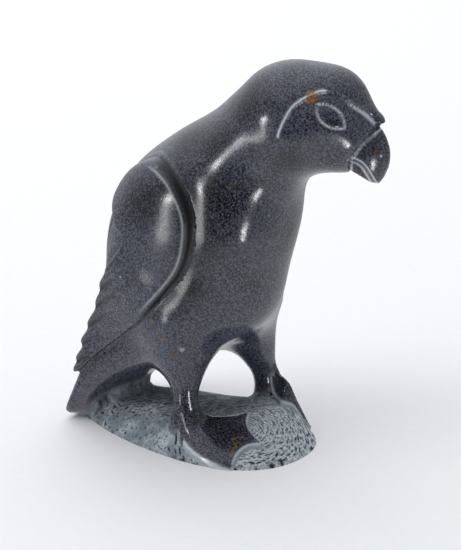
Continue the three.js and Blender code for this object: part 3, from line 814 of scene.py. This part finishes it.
def split_long(points, triangles, size_at):
    """Halves the edges longer than the size wanted there, and divides the triangles to match."""
    sides = [triangles[:, [i, (i + 1) % 3]] for i in range(3)]
    pairs = np.sort(np.concatenate(sides), axis=1)
    edges, edge_of = np.unique(pairs, axis=0, return_inverse=True)
    middle = points[edges].mean(axis=1)
    length = np.linalg.norm(points[edges[:, 0]] - points[edges[:, 1]], axis=1)
    cut = length > 1.5 * size_at(middle)
    number = np.full(len(edges), -1)
    number[cut] = len(points) + np.arange(cut.sum())
    cuts = number[edge_of.reshape(3, -1).T]
    loop = np.stack([triangles, cuts], axis=2).reshape(-1, 6)
    split = cuts >= 0
    counts = split.sum(axis=1)
    first_cut = 2 * np.argmax(split, axis=1)
    after_whole = (2 * np.argmin(split, axis=1) + 2) % 6
    turn = np.where(counts == 2, after_whole, np.where(counts == 1, first_cut, 0))
    loop = np.take_along_axis(loop, (np.arange(6)[None, :] + turn[:, None]) % 6, axis=1)
    p, pq, q, qr, r, rp = range(6)
    patterns = {
        0: [(p, q, r)],
        1: [(p, pq, r), (pq, q, r)],
        2: [(pq, q, qr), (p, pq, qr), (p, qr, r)],
        3: [(p, pq, rp), (pq, q, qr), (rp, qr, r), (pq, qr, rp)],
    }
    finer = [loop[counts == n][:, list(corner)] for n, corners in patterns.items() for corner in corners]
    return np.concatenate([points, middle[cut]]), np.concatenate(finer)


def face_lines(x, y, z):
    """Distance to the nearest carved line of the face."""
    f, s, u = head_frame(x, y, z)
    brow, along = polyline(f, u, BROW_LINE)
    slope_width = 0.8 + 2.4 * ease(0.35, 0.5, along)
    nearest = np.minimum(np.abs(eye_line(f, u)) - 0.6, np.maximum(brow - slope_width, 0))
    seam = np.abs(skull_field(f, s, u) - beak_field(f, s, u)) - 0.6
    beak = np.minimum(seam, polyline(f, u, MOUTH_LINE)[0] - 1.2)
    nearest = np.where((f > 10) & (u < 4), np.minimum(nearest, beak), nearest)
    return np.where((f > -14) & (u > -30), np.maximum(nearest, 0), np.inf)


def size_at(points):
    """Edge length wanted at a place: fine at the carved lines and on the chiselled ground."""
    x, y, z = points.T
    edge = outline(x, z, WING_LINE)
    on_wing = np.where(np.abs(y) > WING["back_gap"], np.maximum(np.abs(edge + 0.8) - 1.6, 0), np.inf)
    fluted = np.where(flute_span(x, z) > 0.03, 0.2, np.inf)
    nearest = np.minimum(np.minimum(on_wing + 0.2, fluted), face_lines(x, y, z))
    nearest = np.minimum(nearest, np.maximum(back_line(x, y, z) - 0.6, 0))
    for foot, line in zip(FEET, FOOT_LINES):
        toes = [segment(x, y, foot["sole"], toe)[0] for toe in foot["toes"]]
        web = np.abs(outline(x, y, line)) - 0.5
        low = np.where(z < 20, np.minimum(web, np.min(toes, axis=0)), np.inf)
        nearest = np.minimum(nearest, np.maximum(low, 0))
    size = np.minimum(MESH["line"] + MESH["growth"] * nearest, MESH["cell"])
    rise = z - ground_height(x, y)
    return np.where((rise < 1) & (z > 2), np.minimum(size, MESH["ground"]), size)


def stone_mesh():
    points, triangles = surface_net(rough_form, MESH["low"], MESH["high"], MESH["cell"])
    points = settle(plain_form, drop(plain_form, points, 2), triangles)
    for _ in range(MESH["splits"]):
        points, triangles = split_long(points, triangles, size_at)
        points = settle(plain_form, points, triangles)
    return drop(carving, points, 3), triangles


# Masks that tell the material where the stone is chiselled, where painted shade darkens a groove, and
# where it is pale from the chisel or from painted highlights
def pale_face(x, y, z):
    """Pale lines of the face: brow, eye, beak root and mouth."""
    f, s, u = head_frame(x, y, z)
    under, along = brow_side(f, u)
    lip = (brow_edge(along) + PALE["lip"]) * ease(0.38, 0.5, along) - PALE["lip"]
    # Pale brow line: chisel-pale in front, a painted highlight at its rear end behind the eye
    brow = bell(under - lip, PALE["brow"]) * (1 - ease(0.95, 1, along))
    eye = bell(eye_line(f, u), PALE["eye"])
    root = bell(skull_field(f, s, u) - beak_field(f, s, u) - 1.2, PALE["beak"])
    mouth = bell(np.abs(mouth_side(f, u)) - 0.8, PALE["beak"]) * ease(12, 13.5, f)
    beak = np.where((f > 9) & (u < 4), np.maximum(root, mouth * (u < -12)), 0)
    return np.where((f > -14) & (u > -32), np.maximum(np.maximum(brow, eye), beak), 0)


def pale_webs(x, y, z):
    webs = [bell(outline(x, y, line) + 0.3, PALE["web"]) for line in FOOT_LINES]
    return np.where((z < 22) & (x > 12), np.max(webs, axis=0), 0)


def wing_front(x, y, z):
    """1 along the outer side of the wing's front edge, 0 elsewhere."""
    return np.where(np.abs(y) > WING["back_gap"], ease(-8, 2, x), 0) * ease(50, 62, z)


def pale_lines(x, y, z):
    """Pale lines: chisel scratches on the face and the webs, a painted highlight at the rear of the
    brow, and a painted highlight along the front edge of the wing.
    """
    # Painted highlight along the bevel of the wing's front edge
    rim = wing_front(x, y, z) * bell(outline(x, z, WING_LINE) + 1.5, PALE["wing"])
    low = np.maximum(PALE_SHARE["web"] * pale_webs(x, y, z), PALE_SHARE["wing"] * rim)
    return np.maximum(pale_face(x, y, z), low)


def painted_groove_shade(x, y, z):
    """Painted shade in the groove along the wing's front edge and in the valleys of the flutes."""
    groove = GROOVE_SHADE_SHARE["wing"] * bell(outline(x, z, WING_LINE) - 0.2, 0.7) * wing_front(x, y, z)
    valleys = GROOVE_SHADE_SHARE["flutes"] * flute_depth(x, z) / FLUTES["depth"]
    return np.maximum(groove, np.where(np.abs(y) > WING["back_gap"], valleys, 0))


def masks(points):
    x, y, z = points.T
    foot = np.min([outline(x, y, line) for line in FOOT_LINES], axis=0)
    on_ground = ease(0.2, 1.2, bird(x, y, z, False, 0)) * ease(-0.1, 0.5, foot)
    return {
        "ground": on_ground,
        "dent": chisel(x, y) * on_ground,
        "front": ease(12, 30, x),
        # groove: painted shade in the wing's front groove and the flute valleys
        "groove": painted_groove_shade(x, y, z),
        # pale: chisel scratches, and painted highlights at the brow's rear and the wing's front edge
        "pale": pale_lines(x, y, z),
    }


def cut_flat(mesh):
    """Cuts the stone off at the ground, with a flat underside and a sharp rim."""
    shape = bmesh.new()
    shape.from_mesh(mesh)
    parts = shape.verts[:] + shape.edges[:] + shape.faces[:]
    plane = {"plane_co": (0, 0, 0), "plane_no": (0, 0, -1)}
    cut = bmesh.ops.bisect_plane(shape, geom=parts, clear_outer=True, **plane)
    rim = [part for part in cut["geom_cut"] if isinstance(part, bmesh.types.BMEdge)]
    for face in shape.faces:
        face.smooth = True
    bottom = bmesh.ops.holes_fill(shape, edges=rim)["faces"]
    for face in bottom:
        face.smooth = False
    for edge in rim:
        edge.smooth = False
    bmesh.ops.triangulate(shape, faces=bottom)
    shape.to_mesh(mesh)
    shape.free()


def stone_piece():
    points, triangles = stone_mesh()
    mesh = bpy.data.meshes.new("bird_carving_stone")
    mesh.from_pydata(points * MM, [], triangles)
    for name, values in masks(points).items():
        layer = mesh.attributes.new(name, "FLOAT", "POINT")
        layer.data.foreach_set("value", values.astype(np.float32))
    cut_flat(mesh)
    piece = bpy.data.objects.new("bird_carving_stone", mesh)
    bpy.context.collection.objects.link(piece)
    return piece


# Materials
def feed(tree, socket, value):
    """Links a socket to another one, or sets it to a plain value."""
    if isinstance(value, bpy.types.NodeSocket):
        tree.links.new(value, socket)
    else:
        socket.default_value = value


def add(tree, kind, settings=None, **inputs):
    """Adds a node, sets its own settings, then feeds its inputs by name."""
    node = tree.nodes.new(kind)
    for name, value in (settings or {}).items():
        setattr(node, name, value)
    for name, value in inputs.items():
        feed(tree, node.inputs[name.replace("_", " ")], value)
    return node


def math_node(tree, kind, operation, a, b):
    """Adds a node that works on two values or two vectors."""
    node = add(tree, kind, {"operation": operation})
    feed(tree, node.inputs[0], a)
    feed(tree, node.inputs[1], b)
    return node


def new_material(name):
    material = bpy.data.materials.new(name)
    material.use_nodes = True
    tree = material.node_tree
    tree.nodes.clear()
    return material, tree


def mask(tree, name):
    return add(tree, "ShaderNodeAttribute", {"attribute_name": name}).outputs["Fac"]


def noise(tree, place, scale, detail=4.0, roughness=0.6):
    grain = {"Scale": scale, "Detail": detail, "Roughness": roughness}
    return add(tree, "ShaderNodeTexNoise", Vector=place, **grain).outputs["Fac"]


def ramp(tree, value, stops):
    """Colours at places along a value."""
    node = add(tree, "ShaderNodeValToRGB", Fac=value)
    elements = node.color_ramp.elements
    while len(elements) < len(stops):
        elements.new(1)
    for element, (place, colour) in zip(elements, stops):
        element.position = place
        element.color = (*colour, 1)
    return node.outputs["Color"]


def mix(tree, share, a, b):
    """A blend of two colours."""
    node = add(tree, "ShaderNodeMix", {"data_type": "RGBA"})
    for slot, value in ((0, share), (6, a), (7, b)):
        feed(tree, node.inputs[slot], value)
    return node.outputs[2]


def blend_value(tree, share, a, b):
    """A blend of two plain values."""
    node = add(tree, "ShaderNodeMix")
    for slot, value in ((0, share), (2, a), (3, b)):
        feed(tree, node.inputs[slot], value)
    return node.outputs[0]


def times(tree, a, b):
    return math_node(tree, "ShaderNodeMath", "MULTIPLY", a, b).outputs[0]


def grey(level):
    return (level, level, level)


def spot(tree, place, centre, radius, ragged, soft=0.25):
    """A ragged spot around a place on the stone: 1 in the middle, 0 outside, over a soft rim."""
    offset = math_node(tree, "ShaderNodeVectorMath", "DISTANCE", place, Vector(centre) * MM)
    wobble = times(tree, ragged, 1.6 * radius * MM)
    reach = math_node(tree, "ShaderNodeMath", "ADD", offset.outputs["Value"], wobble)
    full, none = ((1.5 + side) * radius * MM for side in (-soft, soft))
    spans = {"From_Min": full, "From_Max": none, "To_Min": 1, "To_Max": 0}
    smooth = {"interpolation_type": "SMOOTHSTEP"}
    return add(tree, "ShaderNodeMapRange", smooth, Value=reach.outputs[0], **spans).outputs["Result"]


def polished_stone(tree, place):
    """Dark stone with bluish grains, which black specks crowd out in patches."""
    grain = noise(tree, place, 1350, 3.0, 0.75)
    patch = noise(tree, place, 60, 4.0, 0.6)
    calm, specked, black = (ramp(tree, grain, GRAINS[name]) for name in ("calm", "specked", "black"))
    crowd = ramp(tree, patch, [(0.48, grey(0)), (0.64, grey(0.9))])
    colour = mix(tree, crowd, calm, specked)
    for centre, radius in BLACK_PATCHES:
        colour = mix(tree, spot(tree, place, centre, radius, patch, 0.75), colour, black)
    return colour


def vein_spots():
    """Spots close together along the vein."""
    places = [Vector((*place, height)) for place, height in zip(VEIN["line"], VEIN["heights"])]
    between = [a.lerp(b, share) for a, b in zip(places, places[1:]) for share in (0, 1 / 3, 2 / 3)]
    return [(place, VEIN["radius"], GOLD, 0.9) for place in between + places[-1:]]


def inclusions(tree, place, colour):
    ragged = noise(tree, place, 900, 3.0)
    for centre, radius, stain, strength in STAINS + vein_spots():
        share = times(tree, spot(tree, place, centre, radius, ragged), strength)
        colour = mix(tree, share, colour, (*stain, 1))
    return colour


def chalky_ground(tree, place, fine):
    """Pale chiselled stone, darker in patches mostly behind the feet, with dark strokes in the dents
    that are partly darker stone and partly painted shade.
    """
    chalk = ramp(tree, fine, CHALK)
    darker_patches = ramp(tree, noise(tree, place, 140, 3.0), [(0.42, grey(0.9)), (0.66, grey(0.25))])
    behind = times(tree, darker_patches, blend_value(tree, mask(tree, "front"), 1.0, 0.15))
    chalk = mix(tree, behind, chalk, GROUND_DARKER)
    # Dark strokes in the dents: partly darker stone, partly painted shade
    dents = ramp(tree, mask(tree, "dent"), [(0.22, grey(0)), (0.58, grey(1))])
    return mix(tree, dents, chalk, DENT_STONE_AND_SHADE)


def stone_roughness(tree, fine):
    low, high = POLISH_ROUGH
    rough = ramp(tree, fine, [(0.3, grey(low)), (0.7, grey(high))])
    rough = blend_value(tree, mask(tree, "groove"), rough, GROOVE_ROUGH)
    return blend_value(tree, mask(tree, "ground"), rough, GROUND_ROUGH)


def stone_material():
    material, tree = new_material("stone")
    place = add(tree, "ShaderNodeTexCoord").outputs["Object"]
    fine = noise(tree, place, 1300, 2.0)
    polished = polished_stone(tree, place)
    colour = mix(tree, mask(tree, "ground"), polished, chalky_ground(tree, place, fine))
    # Painted shade in the wing's front groove and the flute valleys
    colour = mix(tree, mask(tree, "groove"), colour, GROOVE_SHADE)
    # Pale chisel lines, and painted highlights at the brow's rear and along the wing's front edge
    colour = mix(tree, mask(tree, "pale"), colour, SCRATCH_AND_HIGHLIGHT)
    colour = inclusions(tree, place, colour)
    bump = add(tree, "ShaderNodeBump", Height=fine, Strength=0.1, Distance=0.0002)
    shader = add(
        tree,
        "ShaderNodeBsdfPrincipled",
        Base_Color=colour,
        Roughness=stone_roughness(tree, fine),
        Normal=bump.outputs["Normal"],
    )
    add(tree, "ShaderNodeOutputMaterial", Surface=shader.outputs["BSDF"])
    return material


def floor_material():
    material, tree = new_material("floor_paper")
    place = add(tree, "ShaderNodeTexCoord").outputs["Object"]
    colour = ramp(tree, noise(tree, place, 300), PAPER)
    finish = {"Roughness": PAPER_ROUGH, "Specular_IOR_Level": 0.0}
    shader = add(tree, "ShaderNodeBsdfPrincipled", Base_Color=colour, **finish)
    add(tree, "ShaderNodeOutputMaterial", Surface=shader.outputs["BSDF"])
    return material


# Studio
def view_axes():
    """Directions from the object to the camera, to the right and up in the picture."""
    azimuth, elevation = math.radians(CAMERA["azimuth"]), math.radians(CAMERA["elevation"])
    flat = Vector((math.sin(azimuth), -math.cos(azimuth), 0))
    back = flat * math.cos(elevation) + Vector((0, 0, math.sin(elevation)))
    right = Vector((math.cos(azimuth), math.sin(azimuth), 0))
    return back, right, back.cross(right)


def look_along(back, right, up, place):
    turn = Matrix((right, up, back)).transposed().to_4x4()
    return Matrix.Translation(place) @ turn


def make_camera():
    back, right, up = view_axes()
    scale = CAMERA["focal"] / CAMERA["distance"]
    aside = (IMAGE["width"] / 2 - CAMERA["origin"][0]) / scale
    above = (CAMERA["origin"][1] - IMAGE["height"] / 2) / scale
    target = (right * aside + up * above) * MM
    data = bpy.data.cameras.new("camera")
    data.sensor_width = CAMERA["sensor"]
    data.lens = CAMERA["sensor"] * CAMERA["focal"] / IMAGE["height"]
    camera = bpy.data.objects.new("camera", data)
    camera.matrix_world = look_along(back, right, up, target + back * CAMERA["distance"] * MM)
    bpy.context.collection.objects.link(camera)
    bpy.context.scene.camera = camera


def make_floor():
    bpy.ops.mesh.primitive_plane_add(size=FLOOR_SIZE)
    floor = bpy.context.object
    floor.name = "floor"
    floor.data.materials.append(floor_material())
    floor.visible_glossy = False


def area_light(name, place, back, size, radiance):
    """A lit rectangle that faces away from its back."""
    data = bpy.data.lights.new(name, "AREA")
    data.shape = "RECTANGLE"
    data.size, data.size_y = (side * MM for side in size)
    data.energy = radiance * math.pi * data.size * data.size_y
    right = Vector((0, 0, 1)).cross(back).normalized()
    light = bpy.data.objects.new(name, data)
    light.matrix_world = look_along(back, right, back.cross(right), Vector(place) * MM)
    bpy.context.collection.objects.link(light)
    return light


def strip(name, place, heights, width, radiance):
    """An upright strip of light between two heights, seen only in the polish of the stone."""
    low, high = heights
    middle = (*place, (low + high) / 2)
    light = area_light(name, middle, Vector((*place, 0)).normalized(), (width, high - low), radiance)
    light.visible_diffuse = False


def panel(name, place, back, size, radiance):
    """A large soft light that is kept out of the polish of the stone."""
    light = area_light(name, place, Vector(back).normalized(), (size, size), radiance)
    light.visible_glossy = False


def towards(tree, direction, aim):
    """How closely a direction points at an aim: 1 straight at it, 0 square to it."""
    aim = Vector(aim).normalized()
    return math_node(tree, "ShaderNodeVectorMath", "DOT_PRODUCT", direction, aim).outputs["Value"]


def make_world():
    """A pale room, brighter high up behind the bird, dark in front and white below."""
    world = bpy.data.worlds.new("studio")
    world.use_nodes = True
    tree = world.node_tree
    direction = add(tree, "ShaderNodeTexCoord").outputs["Generated"]
    back, right, up = view_axes()
    glow = ramp(tree, towards(tree, direction, ROOM["bright_side"]), ROOM["glow"])
    shade = ramp(tree, towards(tree, direction, back - up * 0.5), [(0.6, grey(0)), (0.88, grey(0.92))])
    below = ramp(tree, towards(tree, direction, (0, 0, -1)), [(0.3, grey(0)), (0.6, grey(1))])
    room = mix(tree, below, mix(tree, shade, glow, ROOM["dark"]), ROOM["table"])
    tree.links.new(room, tree.nodes["Background"].inputs["Color"])
    bpy.context.scene.world = world


make_camera()
make_floor()
make_world()
for name, light in STRIPS.items():
    strip(name, **light)
for name, light in PANELS.items():
    panel(name, **light)
bpy.context.scene.view_settings.view_transform = "Standard"

stone = stone_piece()
stone.data.materials.append(stone_material())
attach(stone, "root")
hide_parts("bird_carving")
